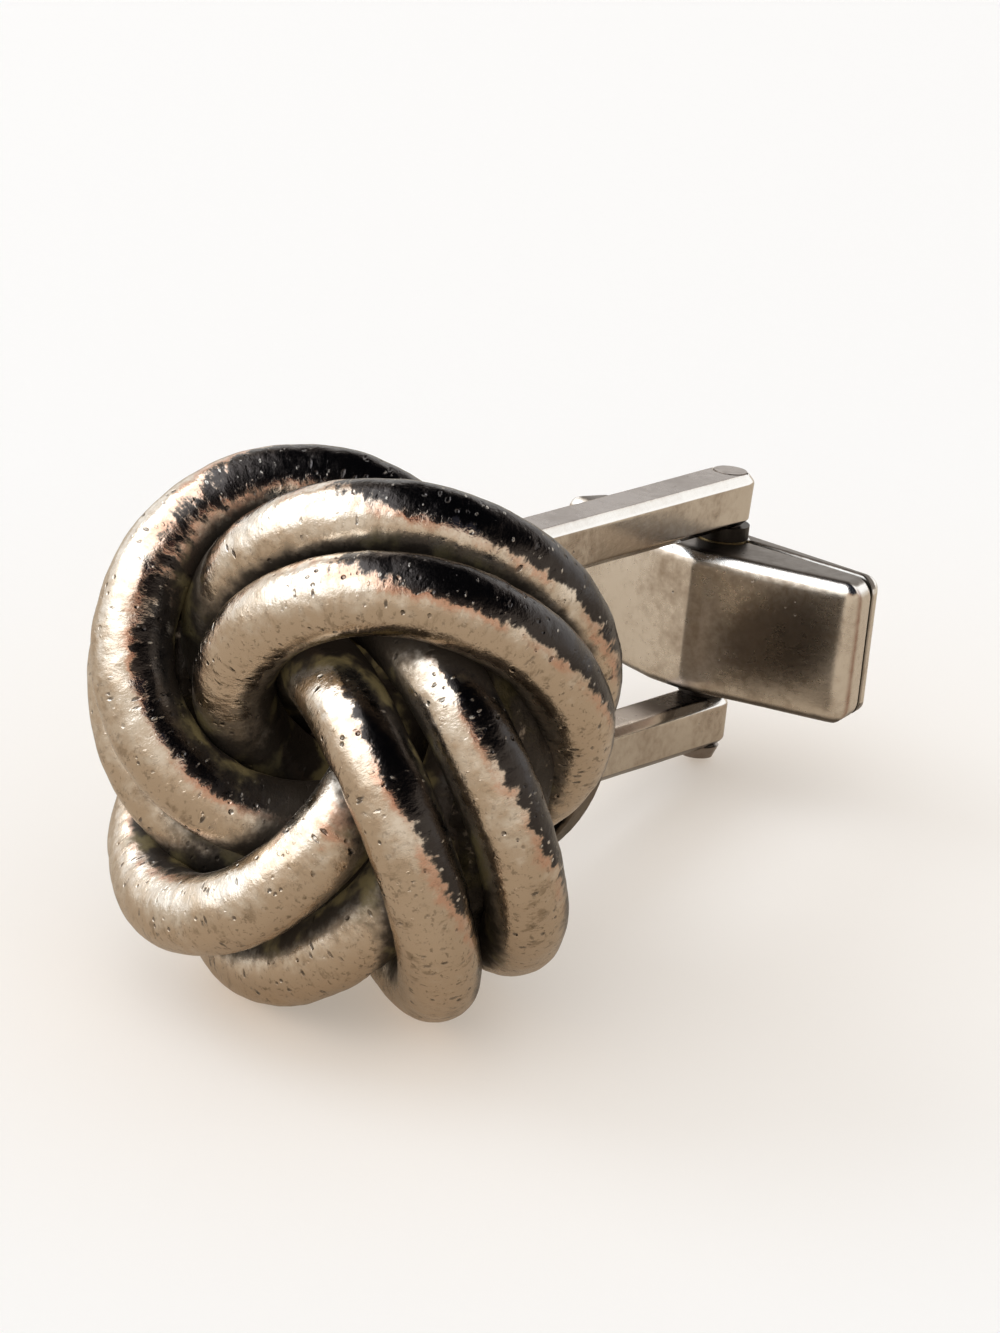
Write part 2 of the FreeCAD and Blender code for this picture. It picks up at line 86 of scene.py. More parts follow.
# %% A socket that can be added and multiplied
class Signal:
    """One socket of a node, to be added, multiplied and blended like a number."""

    def __init__(self, socket):
        self.socket = socket

    @staticmethod
    def node(tree, kind, settings, sockets, out=0):
        """Add a node, set it up, fill or link its sockets, and return one of its outputs."""
        made = tree.nodes.new(kind)
        for name, value in settings.items():
            setattr(made, name, value)
        for name, value in sockets.items():
            entry = next(s for s in made.inputs if name in (s.identifier, s.name))
            if isinstance(value, Signal):
                tree.links.new(value.socket, entry)
            else:
                entry.default_value = value
        found = [s for i, s in enumerate(made.outputs) if out in (i, s.identifier, s.name)]
        return Signal(found[0]) if found else None

    def combine(self, operation, first, second):
        """A Math node between two values, and a Vector Math node where a vector takes part."""
        tree = self.socket.id_data
        kinds = {s.socket.type for s in (first, second) if isinstance(s, Signal)}
        if kinds == {"VALUE"}:
            return Signal.node(tree, "ShaderNodeMath", {"operation": operation},
                               {"Value": first, "Value_001": second})
        first, second = [s if isinstance(s, (Signal, tuple)) else (s, s, s) for s in (first, second)]
        return Signal.node(tree, "ShaderNodeVectorMath", {"operation": operation},
                           {"Vector": first, "Vector_001": second})

    def __add__(self, other):
        return self.combine("ADD", self, other)

    def __radd__(self, other):
        return self.combine("ADD", other, self)

    def __sub__(self, other):
        return self.combine("SUBTRACT", self, other)

    def __rsub__(self, other):
        return self.combine("SUBTRACT", other, self)

    def __mul__(self, other):
        return self.combine("MULTIPLY", self, other)

    def __rmul__(self, other):
        return self.combine("MULTIPLY", other, self)

    def between(self, start, end):
        """0 at start, 1 at end and a smooth step between them. Start may be the larger one."""
        return Signal.node(self.socket.id_data, "ShaderNodeMapRange", {"interpolation_type": "SMOOTHSTEP"},
                           {"Value": self, "From Min": start, "From Max": end})

    def blend(self, first, second):
        """The first colour where this mask is 0 and the second where it is 1."""
        first, second = [(*c, 1.0) if isinstance(c, tuple) else c for c in (first, second)]
        return Signal.node(self.socket.id_data, "ShaderNodeMix", {"data_type": "RGBA"},
                           {"Factor_Float": self, "A_Color": first, "B_Color": second}, "Result_Color")


print("a Signal stands for one socket of a node")

# %% [markdown]
# ## Places on the metal
#
# Each finish needs to know where it is on the piece. Object coordinates stay with a piece when it turns,
# which world coordinates don't. They are in metres here, so they are multiplied up to millimetres, and
# a noise scale of 2 then simply means two grains in a millimetre.

# %% Helpers for finishes
def start_finish(name):
    """A material with an empty tree, and the place on the piece in millimetres."""
    material = bpy.data.materials.new(name)
    material.use_nodes = True
    material.node_tree.nodes.clear()
    tree = material.node_tree
    place = Signal.node(tree, "ShaderNodeTexCoord", {}, {}, "Object") * (1.0 / MM)
    return material, tree, place


def cloud(tree, place, scale, detail=4.0, roughness=0.55):
    """Soft noise around a half."""
    return Signal.node(tree, "ShaderNodeTexNoise", {},
                       {"Vector": place, "Scale": scale, "Detail": detail, "Roughness": roughness})


def cells(tree, place, scale):
    """How far it is to the nearest of many scattered points."""
    return Signal.node(tree, "ShaderNodeTexVoronoi", {}, {"Vector": place, "Scale": scale})


def painted(tree, name, out="Fac"):
    """A mask or a map that is stored on the points of the mesh."""
    return Signal.node(tree, "ShaderNodeAttribute", {"attribute_name": name}, {}, out)


def end_finish(tree, colour, roughness, metallic, height, extra=None):
    """Height is in millimetres, so the relief has its real depth."""
    relief = Signal.node(tree, "ShaderNodeBump", {}, {"Strength": 1.0, "Distance": MM, "Height": height})
    sockets = {"Base Color": colour, "Roughness": roughness, "Metallic": metallic, "Normal": relief}
    sockets.update(extra or {})
    shader = Signal.node(tree, "ShaderNodeBsdfPrincipled", {}, sockets)
    Signal.node(tree, "ShaderNodeOutputMaterial", {}, {"Surface": shader})


print("finishes are measured in millimetres")

# %% [markdown]
# ## The wire's finish
#
# The wire is old silver, and its left and upper left sides stay bright. On the sides turned up and to the
# right the metal is painted black as a painted dark reflection, with a painted rosy rim, and the sides that
# face away from the front keep a black patina. The downward sides are browner, partly tarnish and partly
# painted shade. The corners where strands meet hold brown and greenish dirt and painted shade. Masks painted
# on the mesh
# say where that is: how far a spot leans to the side of the painted dark reflection, how far it faces up or
# to the front, how hidden it is, and how near the next strand. Noise breaks them all up, because wear never
# follows a clean line. Nicks are laid across the wire, so they use a painted map of the distance along and
# around it.

# %% Worn silver for the strands
SILVER = (0.87, 0.82, 0.745)
TARNISH = (0.60, 0.49, 0.375)
# A painted reflection: the rosy rim of the dark band.
ROSE_REFLECTION = (0.66, 0.38, 0.27)
SMEAR_BROWN = (0.24, 0.18, 0.12)
SPECKLE_BROWN = (0.13, 0.10, 0.07)
# Black for the patina, the pits and the painted dark reflection.
PATINA_AND_DARK_REFLECTION = (0.034, 0.032, 0.035)
# Soot: dirt and painted shade in the hollows, and the dirt in the toggle's seam.
SOOT_AND_SHADE = (0.042, 0.033, 0.025)
VERDIGRIS = (0.22, 0.18, 0.08)
# How far a spot must lean to the upper right to take the painted dark reflection.
DARK_REFLECTION_FROM = 0.625


def strand_finish():
    material, tree, place = start_finish("worn_strand_silver")
    shade = painted(tree, "shade")
    up = painted(tree, "up")
    front = painted(tree, "front")
    hidden = painted(tree, "hidden")
    crevice = painted(tree, "crevice")
    lay = painted(tree, "lay", "Vector")

    # Noise from coarse to fine. Torn is finer along the wire than around it.
    mottle = cloud(tree, place, 0.55, 6.0, 0.62)
    fleck = cloud(tree, place, 2.6, 5.0, 0.6)
    grain = cloud(tree, place, 9.0, 3.0, 0.6)
    torn = cloud(tree, lay * (3.6, 1.3, 1.0), 1.0, 5.0, 0.65)

    # Brown tarnish, heavier below as painted shade. A painted dark reflection on the upper right flank with a
    # painted rosy rim, and black patina where the wire faces away from the front.
    low = up.between(0.45, -0.40)
    brown = (mottle + fleck * 0.6 + torn * 0.4 + low * 0.34).between(0.74, 1.24)
    dark_reflection_lean = shade - DARK_REFLECTION_FROM + (mottle - 0.5) * 0.42 + (torn - 0.5) * 0.55 + (fleck - 0.5) * 0.22
    unrubbed = ((mottle - 0.5) * 0.9 + (torn - 0.5) * 0.5 - front).between(0.12, 0.42)
    dark_reflection_and_patina = 1.0 - (1.0 - dark_reflection_lean.between(-0.03, 0.06)) * (1.0 - unrubbed)
    rose_reflection_rim = dark_reflection_lean.between(-0.22, -0.05) * (1.0 - dark_reflection_and_patina)

    # Dirt and painted shade fill what is hidden, and some of the dirt is green.
    dirt_and_shade = hidden + crevice * 0.30 + (fleck - 0.5) * 0.5 + (mottle - 0.5) * 0.5
    soot_and_shade = dirt_and_shade.between(0.31, 0.73)
    green = soot_and_shade * cloud(tree, place + (5.0, 1.0, 8.0), 0.6).between(0.52, 0.64) * 0.65

    # Small marks. A shifted place gives each noise a pattern of its own.
    pit_field = cloud(tree, place + (7.0, 3.0, 1.0), 0.8, 3.0)
    pit = cells(tree, place, 2.3).between(0.20, 0.07) * pit_field.between(0.46, 0.58)
    nick_field = cloud(tree, place + (1.0, 8.0, 2.0), 0.9, 3.0)
    nick = cells(tree, lay * (4.4, 1.7, 1.0) + torn * 0.6, 1.0).between(0.27, 0.12)
    nick = nick * nick_field.between(0.50, 0.62)
    chip = cells(tree, lay * (5.2, 2.4, 1.0) + torn * 0.8 + (3.3, 1.7, 0.0), 1.0).between(0.24, 0.12)
    chip = chip * fleck.between(0.48, 0.60)
    speckle = cloud(tree, place + (2.0, 6.0, 3.0), 5.5, 5.0, 0.7).between(0.56, 0.64)
    smear = cloud(tree, lay * (2.2, 0.9, 1.0) + (4.0, 9.0, 2.0), 1.3, 6.0, 0.7).between(0.54, 0.66)

    colour = brown.blend(SILVER, TARNISH)
    # A painted rosy rim along the painted dark reflection.
    colour = (rose_reflection_rim * mottle.between(0.38, 0.60) * 0.75).blend(colour, ROSE_REFLECTION)
    # Smears and specks grow on the downward sides, partly dirt and partly painted shade.
    colour = (smear * (0.22 + low * 0.40)).blend(colour, SMEAR_BROWN)
    colour = (speckle * (0.20 + low * 0.40)).blend(colour, SPECKLE_BROWN)
    # The painted dark reflection and the black patina.
    colour = (dark_reflection_and_patina * 0.96).blend(colour, PATINA_AND_DARK_REFLECTION)
    colour = (chip * dark_reflection_and_patina * 0.80).blend(colour, SILVER)
    colour = ((pit + nick) * (1.0 - dark_reflection_and_patina) * 0.72).blend(colour, PATINA_AND_DARK_REFLECTION)
    # Dirt and painted shade in the hollows.
    colour = (soot_and_shade * 0.95).blend(colour, SOOT_AND_SHADE)
    colour = green.blend(colour, VERDIGRIS)
    roughness = 0.09 + brown * 0.09 + fleck * 0.06 + soot_and_shade * 0.34 + dark_reflection_and_patina * 0.06
    metallic = 1.0 - green * 0.8 - soot_and_shade * 0.45
    height = fleck * 0.024 + grain * 0.004 + torn * 0.022 - pit * 0.040 - nick * 0.030
    height = height - dark_reflection_and_patina * 0.008 + chip * 0.010
    end_finish(tree, colour, roughness, metallic, height)
    return material


strand_silver = strand_finish()
print("made", strand_silver.name)

# %% [markdown]
# ## Where each strand lies
#
# A strand is part of a circle of wire, so a centre, a facing, a radius and two end angles are enough to
# draw it again. They could be typed in, but reading them from the solid keeps the two together when the
# solid changes. The points of an arc spread least in the direction that its circle faces, and every point
# of the skin is one wire radius from the middle line. A few rounds of least squares find the line for which
# that is true.

# %% Read the strands from their solids
FIT_ROUNDS = 12


def strand_line(node):
    """Centre, directions, radius and ends of the circle that a strand follows."""
    points = np.array([v.co for v in frame["nodes"][node].data.vertices], float)
    middle = points.mean(0)
    side, _, facing = np.linalg.svd(points - middle, full_matrices=False)[2]
    other = np.cross(facing, side)
    flat = (points - middle) @ np.stack([side, other], 1)
    lift = (points - middle) @ facing
    level = (lift.max() + lift.min()) / 2.0
    wire = (lift.max() - lift.min()) / 2.0
    guess = np.linalg.lstsq(np.c_[2.0 * flat, np.ones(len(flat))], (flat ** 2).sum(1), rcond=None)[0]
    line = np.array([guess[0], guess[1], math.sqrt(guess[2] + guess[0] ** 2 + guess[1] ** 2)])
    for _ in range(FIT_ROUNDS):
        offset = flat - line[:2]
        reach = np.hypot(offset[:, 0], offset[:, 1])
        away = np.hypot(reach - line[2], lift - level)
        pull = (reach - line[2]) / away
        slope = -np.c_[offset * (pull / reach)[:, None], pull]
        line = line + np.linalg.lstsq(slope, wire - away, rcond=None)[0]
    turns = np.sort(np.arctan2(flat[:, 1] - line[1], flat[:, 0] - line[0]))
    gaps = np.diff(np.r_[turns, turns[0] + math.tau])
    start = turns[(gaps.argmax() + 1) % len(turns)]
    centre = middle + side * line[0] + other * line[1] + facing * level
    return {"centre": centre, "side": side, "other": other, "facing": facing, "radius": line[2],
            "start": start, "sweep": math.tau - gaps.max()}


strand_nodes = sorted(n for n in frame["nodes"] if n.startswith("knot_ring_"))
lines = {n: strand_line(n) for n in strand_nodes}
knot_centre = np.mean([line["centre"] for line in lines.values()], axis=0)
for node, line in lines.items():
    print(node, "radius in mm:", round(line["radius"] / MM, 3),
          "sweep in degrees:", round(math.degrees(line["sweep"]), 1))

# %% [markdown]
# ## The strands
#
# In the real knot the strands press on each other and no daylight shows between them. The solids keep
# a hair's gap so that no two of them share space, so the visible strands are drawn a little thicker
# on the same lines and run on a little further into the knot, to a rounded end. Their surface isn't
# a true tube either: hand work left it wavy and dented, and that shows in every reflection. Bump alone
# can't bend an outline, so the larger dents are moved points.

# %% Heights of the hand-worked surface
# Heights are in millimetres, scales in waves per millimetre. A dent's lot and chance decide which cells of
# the pattern are dented, and how deep.
SWELL = 0.040
SWELL_SCALE = 0.42
LUMP = 0.024
LUMP_SCALE = 1.5
LUMP_SHIFT = Vector((3.1, 7.7, 1.3))
SCUFF = 0.007
SCUFF_SCALE = 4.2
SCUFF_SHIFT = Vector((8.3, 2.9, 5.1))
DENT = 0.060
DENT_SCALE = 0.85
DENT_REACH = 0.42
DENT_LOT = 3.7
DENT_CHANCE = 0.25


def relief(spot):
    """Height of the hand-worked surface in millimetres at a spot given in millimetres."""
    swell = SWELL * noise.noise(spot * SWELL_SCALE)
    lump = LUMP * noise.noise(spot * LUMP_SCALE + LUMP_SHIFT)
    scuff = SCUFF * noise.noise(spot * SCUFF_SCALE + SCUFF_SHIFT)
    near, hearts = noise.voronoi(spot * DENT_SCALE)
    share = max(0.0, noise.noise(hearts[0] * DENT_LOT) + DENT_CHANCE)
    bowl = max(0.0, 1.0 - near[0] / DENT_REACH)
    return swell + lump + scuff - DENT * share * bowl


print("swell, lump, scuff and dent in mm:", SWELL, LUMP, SCUFF, DENT)

# %% The plain skin of a strand
STRAND_RADIUS = 1.12 * MM
STEPS_ALONG = 380
STEPS_ROUND = 72
STEPS_END = 9
END_RUN = math.radians(16.0)
END_TILT = math.radians(82.0)
# The map's third number sets strands of unlike radius apart in the noise.
MAP_SPREAD = 40.0


def skin_of(line):
    """Points and outward directions of a plain strand with two rounded ends, and its map in millimetres."""
    first = line["start"] - END_RUN
    last = line["start"] + line["sweep"] + END_RUN
    round_off = np.linspace(0.0, END_TILT, STEPS_END + 1)[1:]
    turn = np.r_[np.full(STEPS_END, first), np.linspace(first, last, STEPS_ALONG), np.full(STEPS_END, last)]
    tilt = np.r_[-round_off[::-1], np.zeros(STEPS_ALONG), round_off]
    roll = (np.arange(STEPS_ROUND) / STEPS_ROUND - 0.5) * math.tau
    out = np.cos(turn)[:, None] * line["side"] + np.sin(turn)[:, None] * line["other"]
    along = np.cos(turn)[:, None] * line["other"] - np.sin(turn)[:, None] * line["side"]
    around = np.cos(roll)[None, :, None] * out[:, None, :] + np.sin(roll)[None, :, None] * line["facing"]
    normal = np.cos(tilt)[:, None, None] * around + (np.sin(tilt)[:, None] * along)[:, None, :]
    points = (line["centre"] + line["radius"] * out)[:, None, :] + STRAND_RADIUS * normal
    run = (turn * line["radius"] + tilt * STRAND_RADIUS)[:, None]
    girth = (roll * STRAND_RADIUS)[None, :]
    lay = np.stack(np.broadcast_arrays(run, girth, line["radius"] * MAP_SPREAD), -1) / MM
    return points, normal, lay


def tube_faces(stations, around):
    """Faces of a closed tube whose points are counted ring by ring."""
    corners = np.arange(stations * around).reshape(stations, around)
    beside = np.roll(corners, -1, 1)
    faces = np.stack([corners[:-1], corners[1:], beside[1:], beside[:-1]], -1).reshape(-1, 4).tolist()
    return faces + [corners[0].tolist(), corners[-1][::-1].tolist()]


skins = {n: skin_of(lines[n]) for n in strand_nodes}
print("points in a strand:", skins[strand_nodes[0]][0].size // 3)

# %% [markdown]
# ## How hidden each spot is
#
# Dirt stays in the hollows, and the hollows also get painted shade. Rays sent out from a spot tell how much
# of its surroundings is metal, and the share that hits the knot again is painted on the mesh. An Ambient
# Occlusion node could do this at render time, but it would be slower and would be lost in other programs.
# Every fourth point is enough, with the rest read in between.

# %% Rays from the strands
RAYS = 40
RAY_REACH = 5.0 * MM
RAY_LIFT = 0.05 * MM
COARSE = 4
GOLDEN_TURN = math.pi * (3.0 - math.sqrt(5.0))


def knot_walls():
    """One search tree for all plain strands and the plate behind them."""
    corners, faces = [], []
    for node in strand_nodes:
        points = skins[node][0]
        shift = len(corners)
        corners += points.reshape(-1, 3).tolist()
        faces += [[c + shift for c in face] for face in tube_faces(len(points), STEPS_ROUND)]
    plate = frame["nodes"]["back_plate"].data
    shift = len(corners)
    corners += [tuple(v.co) for v in plate.vertices]
    faces += [[c + shift for c in face.vertices] for face in plate.polygons]
    return BVHTree.FromPolygons(corners, faces)


def hidden_share(walls, points, normal):
    """The share of rays from each point that hit metal again."""
    rows = np.unique(np.r_[np.arange(0, len(points), COARSE), len(points) - 1])
    columns = np.arange(0, STEPS_ROUND, COARSE)
    height = (np.arange(RAYS) + 0.5) / RAYS
    ring = np.sqrt(1.0 - height ** 2)
    spin = np.arange(RAYS) * GOLDEN_TURN
    fan = np.stack([ring * np.cos(spin), ring * np.sin(spin), height], 1)
    coarse = np.zeros((len(rows), len(columns)))
    for i, row in enumerate(rows):
        for j, column in enumerate(columns):
            up = Vector(normal[row, column])
            start = Vector(points[row, column]) + up * RAY_LIFT
            turn = up.to_track_quat("Z", "Y").to_matrix()
            hits = sum(walls.ray_cast(start, turn @ Vector(ray), RAY_REACH)[0] is not None for ray in fan)
            coarse[i, j] = hits / RAYS
    wide = np.stack([np.interp(np.arange(STEPS_ROUND), columns, line, period=STEPS_ROUND) for line in coarse])
    return np.stack([np.interp(np.arange(len(points)), rows, line) for line in wide.T], 1)


walls = knot_walls()
hidden = {n: hidden_share(walls, *skins[n][:2]) for n in strand_nodes}
print("most hidden share:", round(max(h.max() for h in hidden.values()), 2))

# %% [markdown]
# ## Building the strands
#
# With the plain skins, the heights and the masks at hand, each strand is one mesh: its points are moved
# out or in by the surface height, and the masks are stored on its points as named attributes that the
# finish reads back.

# %% Helpers for pieces
def paint(mesh, name, values):
    """Store one number, or three, on each point of a mesh."""
    wide = len(values) > len(mesh.vertices)
    layer = mesh.attributes.new(name, "FLOAT_VECTOR" if wide else "FLOAT", "POINT")
    layer.data.foreach_set("vector" if wide else "value", np.ascontiguousarray(values, np.float32))


def ramp(values, start, end):
    """0 at start, 1 at end and a straight slope between them. Start may be the larger one."""
    return np.clip((values - start) / (end - start), 0.0, 1.0)


def show(data):
    """Put a mesh, a camera or a lamp in the scene under its own name."""
    shown = bpy.data.objects.new(data.name, data)
    bpy.context.scene.collection.objects.link(shown)
    return shown


def nearest_strand(points, own):
    """How far each point is from the skin of the nearest other strand."""
    gap = np.full(len(points), np.inf)
    for name, line in lines.items():
        if name == own:
            continue
        half = line["sweep"] / 2.0
        offset = points - line["centre"]
        turn = np.arctan2(offset @ line["other"], offset @ line["side"]) - line["start"] - half
        turn = (turn + math.pi) % math.tau - math.pi
        turn = np.clip(turn, -half, half) + line["start"] + half
        nearest = np.cos(turn)[:, None] * line["side"] + np.sin(turn)[:, None] * line["other"]
        away = np.linalg.norm(offset - line["radius"] * nearest, axis=1)
        gap = np.minimum(gap, away - STRAND_RADIUS)
    return gap


print("masks are stored on points")

# %% Make the strands
CREVICE_WIDTH = 0.8 * MM
# The side that takes the painted dark reflection: up and to the right.
DARK_REFLECTION_SIDE = np.array((0.60, 0.20, 0.82))
dark_reflection_way = DARK_REFLECTION_SIDE / np.linalg.norm(DARK_REFLECTION_SIDE)
plate_low, plate_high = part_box("back_plate")
knot_front = knot_centre - (np.array(plate_low) + np.array(plate_high)) / 2.0
knot_front /= np.linalg.norm(knot_front)


def make_strand(node):
    points, normal, lay = skins[node]
    faces = tube_faces(len(points), STEPS_ROUND)
    points, normal = points.reshape(-1, 3), normal.reshape(-1, 3)
    height = np.array([relief(Vector(p / MM)) for p in points]) * MM
    points = points + height[:, None] * normal
    mesh = bpy.data.meshes.new(node.replace("knot_ring", "strand"))
    mesh.from_pydata(points.tolist(), [], faces)
    mesh.shade_smooth()
    paint(mesh, "crevice", ramp(nearest_strand(points, node), CREVICE_WIDTH, 0.0))
    paint(mesh, "hidden", hidden[node].reshape(-1))
    # How far each point leans to the side of the painted dark reflection.
    paint(mesh, "shade", normal @ dark_reflection_way)
    paint(mesh, "up", normal[:, 2])
    paint(mesh, "front", normal @ knot_front)
    paint(mesh, "lay", lay.reshape(-1))
    mesh.materials.append(strand_silver)
    strand = show(mesh)
    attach(strand, "head")
    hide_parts(node)
    return strand


strands = [make_strand(n) for n in strand_nodes]
print("strands:", len(strands), "points in each:", len(strands[0].data.vertices))

# %% [markdown]
# ## Brazing inside the knot
#
# Behind their crests the strands are brazed together, so no daylight comes through the knot. The brazing is
# a lump turned about the knot's axis, thin in the well and thick under the crests, and roughened with noise.
# Its outline is a row of distances from the axis, each with its height towards the front, in millimetres.

# %% Make the brazing
BRAZING_OUTLINE = [(0.0, -0.3), (2.2, -0.3), (3.4, 0.5), (4.6, 1.7), (5.5, 1.4),
                   (6.15, 0.5), (6.15, -0.4), (5.4, -1.6), (4.4, -2.4), (0.0, -2.4)]
BRAZING_STEPS = 90
BRAZING_TURNS = 200
BRAZING_GRAIN = 0.112
BRAZING_SCALE = 1.3
BRAZING_DECAY = 0.6
BRAZING_FINER = 2.0
BRAZING_LAYERS = 4
BRAZING_GREEN = (0.077, 0.063, 0.028)


def brazing_finish():
    material, tree, place = start_finish("brazing_dark")
    fleck = cloud(tree, place, 2.4, 5.0, 0.6)
    crust = cloud(tree, place + (4.0, 2.0, 9.0), 0.8, 5.0, 0.6)
    # Dark with soot and green crust, and the darkness also stands in as painted shade deep in the knot.
    colour = crust.between(0.5, 0.66).blend(SOOT_AND_SHADE, BRAZING_GREEN)
    colour = (fleck.between(0.60, 0.72) * 0.5).blend(colour, TARNISH)
    end_finish(tree, colour, 0.42 + fleck * 0.2, 0.6, fleck * 0.08 + crust * 0.05)
    return material


def brazing_height(spot):
    return noise.fractal(Vector(spot) * BRAZING_SCALE, BRAZING_DECAY, BRAZING_FINER, BRAZING_LAYERS)


def make_brazing():
    corners = np.array(BRAZING_OUTLINE)
    run = np.r_[0.0, np.cumsum(np.hypot(*np.diff(corners, axis=0).T))]
    steps = np.linspace(0.0, run[-1], BRAZING_STEPS)[1:-1]
    reach = np.interp(steps, run, corners[:, 0])
    lift = np.interp(steps, run, corners[:, 1])
    first = np.cross(knot_front, (1.0, 0.0, 0.0))
    first /= np.linalg.norm(first)
    second = np.cross(knot_front, first)
    turn = np.arange(BRAZING_TURNS) / BRAZING_TURNS * math.tau
    spoke = np.cos(turn)[:, None] * first + np.sin(turn)[:, None] * second
    points = reach[:, None, None] * spoke[None] + lift[:, None, None] * knot_front
    height = np.array([[brazing_height(spot) for spot in row] for row in points])
    points = points + (BRAZING_GRAIN * height)[..., None] * (spoke[None] + knot_front)
    mesh = bpy.data.meshes.new("brazing")
    faces = tube_faces(len(points), BRAZING_TURNS)
    mesh.from_pydata((knot_centre + points.reshape(-1, 3) * MM).tolist(), [], faces)
    mesh.shade_smooth()
    mesh.materials.append(brazing_finish())
    lump = show(mesh)
    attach(lump, "head")
    return lump


brazing = make_brazing()
print("brazing points:", len(brazing.data.vertices))

# %% [markdown]
# ## The closure's finish
#
# The fork and the toggle are die-stamped and were never hammered, so they keep flat faces that mirror
# the table and the knot. They are duller than new: a brown film, fine rubbing lines and a few specks.
# Edges that slope upwards carry a painted highlight, undersides carry painted shade, and top faces a film
# that is also a painted darker reflection. The toggle's seam holds dirt, a painted rosy reflection runs
# beside it, and one of its faces carries a dark painted reflection. One function makes all these finishes,
# because they differ only in colour and dullness.

# %% Smooth silver for the fork and toggle
# The top colour is a film that is also a painted darker reflection, the under colour painted shade, the edge
# colour a painted highlight, and the rosy and dark colours painted reflections on the toggle.
TOP_FILM_AND_REFLECTION = (0.30, 0.265, 0.25)
UNDER_SHADE = (0.050, 0.040, 0.034)
EDGE_HIGHLIGHT = (0.97, 0.965, 0.95)
ROSY_REFLECTION = (0.30, 0.15, 0.10)
FACE_DARK_REFLECTION = (0.13, 0.105, 0.085)


def closure_finish(name, silver, film, dullness, top_film_and_reflection=TOP_FILM_AND_REFLECTION):
    """Silver is the bare metal, film the brown on it, and dullness the roughness of clean metal."""
    material, tree, place = start_finish(name)
    facing = painted(tree, "up")
    seam = painted(tree, "seam")
    rosy_reflection = painted(tree, "rosy_reflection")
    face_dark_reflection = painted(tree, "face_dark_reflection")
    mottle = cloud(tree, place, 0.5, 5.0, 0.6)
    fleck = cloud(tree, place, 4.0, 4.0, 0.6)
    rub = cloud(tree, place * (3.0, 0.6, 14.0), 1.0, 3.0, 0.6)
    speck = cells(tree, place, 2.2).between(0.10, 0.04) * mottle.between(0.50, 0.62)
    brown = (mottle * 0.8 + fleck * 0.35).between(0.45, 0.85)
    # A dark painted reflection on the toggle's right face.
    face_reflection = (face_dark_reflection + (mottle - 0.5) * 0.7 + (fleck - 0.5) * 0.3).between(0.1, 1.0)
    # Top faces take a film that is also a painted darker reflection.
    top = (facing + (fleck - 0.5) * 0.10).between(0.86, 0.97)
    under_shade = (facing + (fleck - 0.5) * 0.30).between(-0.30, -0.65)
    edge_highlight = (facing + (fleck - 0.5) * 0.16).between(0.36, 0.50) * (1.0 - top)
    colour = (brown * (1.0 - edge_highlight)).blend(silver, film)
    colour = (face_reflection * 0.8).blend(colour, FACE_DARK_REFLECTION)
    # A painted highlight on the edges that slope upwards.
    colour = (edge_highlight * 0.95).blend(colour, EDGE_HIGHLIGHT)
    colour = (top * 0.92).blend(colour, top_film_and_reflection)
    # Painted shade on the undersides.
    colour = (under_shade * 0.88).blend(colour, UNDER_SHADE)
    colour = (speck * 0.6).blend(colour, PATINA_AND_DARK_REFLECTION)
    # A painted rosy reflection beside the seam.
    colour = (rosy_reflection * (0.45 + fleck * 0.6)).blend(colour, ROSY_REFLECTION)
    colour = (seam * 0.95).blend(colour, SOOT_AND_SHADE)
    roughness = dullness + seam * 0.2 + brown * 0.10 + rub * 0.08 + speck * 0.2 + top * 0.06 - edge_highlight * 0.05
    height = mottle * 0.012 + rub * 0.0015 + fleck * 0.0015 - speck * 0.010
    end_finish(tree, colour, roughness, 1.0, height)
    return material


fork_silver = closure_finish("fork_silver", silver=(0.72, 0.66, 0.58), film=(0.42, 0.345, 0.275),
                             dullness=0.15)
toggle_silver = closure_finish("toggle_silver", silver=(0.76, 0.695, 0.61), film=(0.42, 0.34, 0.265),
                               dullness=0.21, top_film_and_reflection=(0.10, 0.082, 0.070))
pin_silver = closure_finish("pin_silver", silver=(0.36, 0.32, 0.295), film=(0.24, 0.205, 0.185),
                            dullness=0.24)
# The washers are painted near black as the shade between the arms and the toggle.
washer_painted_shade = closure_finish("washer_painted_shade", silver=(0.045, 0.040, 0.036), film=(0.025, 0.021, 0.018),
                             dullness=0.34)
# The back plate is painted dark as the shade behind the strands.
plate_painted_shade = closure_finish("plate_painted_shade", silver=(0.16, 0.13, 0.10), film=(0.06, 0.05, 0.04),
                            dullness=0.34)
bush_brass = closure_finish("bush_brass", silver=(0.30, 0.23, 0.12), film=(0.12, 0.09, 0.05),
                            dullness=0.35)
spring_steel = closure_finish("spring_steel", silver=(0.50, 0.50, 0.51), film=(0.24, 0.22, 0.20),
                              dullness=0.22)

finish_of = {
    "back_plate": plate_painted_shade, "fork_base": fork_silver, "upper_arm": fork_silver, "lower_arm": fork_silver,
    "pivot_pin": pin_silver, "upper_washer": washer_painted_shade, "lower_washer": washer_painted_shade,
    "toggle_front_shell": toggle_silver, "toggle_back_shell": toggle_silver,
    "upper_bush": bush_brass, "lower_bush": bush_brass, "detent_spring": spring_steel,
}
for node, material in finish_of.items():
    mesh = frame["nodes"][node].data
    mesh.materials.clear()
    mesh.materials.append(material)
print("closure pieces with a finish:", len(finish_of))

